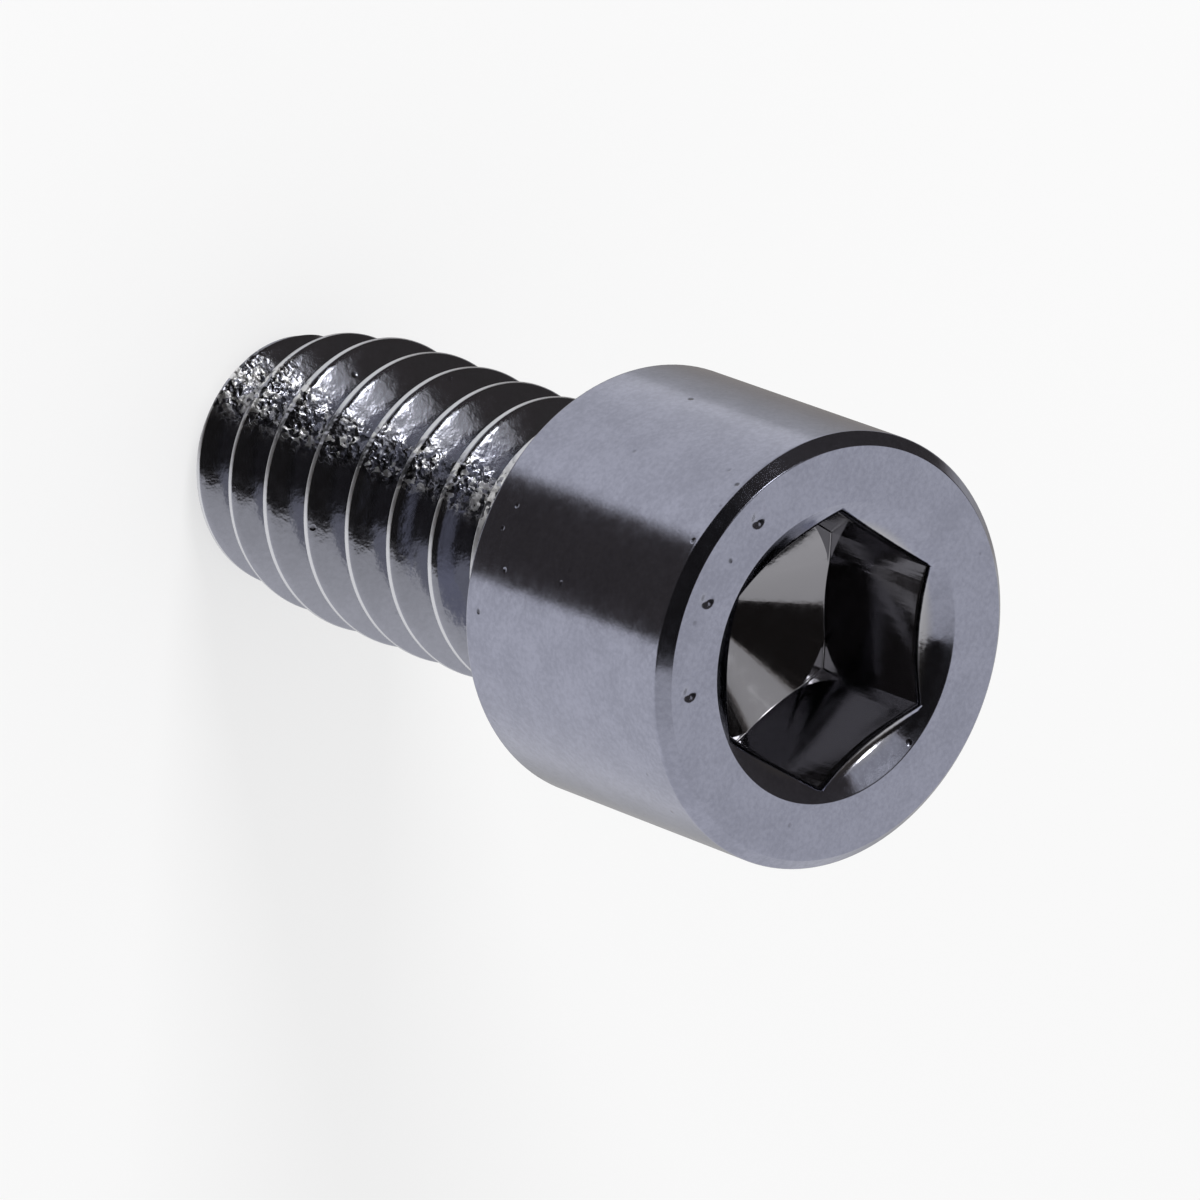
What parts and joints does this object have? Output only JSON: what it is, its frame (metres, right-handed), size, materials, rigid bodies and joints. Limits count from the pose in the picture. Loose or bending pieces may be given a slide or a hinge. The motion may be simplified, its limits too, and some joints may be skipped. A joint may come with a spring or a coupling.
{
  "type": "socket head cap screw",
  "caption": "Steel cap screw with a plain cylindrical head, a hexagon socket and a short right-hand thread that runs nearly up to the head.",
  "frame": {"origin": "middle of the bearing face under the head, on the screw's axis", "axes": "+Z along the screw's axis, out of the socket; -Y towards one corner of the hexagon; the screw stands on the flat end of its thread"},
  "size_m": [0.0094, 0.0094, 0.0185],
  "materials": {
    "steel": "smooth bright steel with a faint violet-grey tone"
  },
  "bodies": {
    "root": {"cap_screw": "steel"}
  },
  "joints": []
}
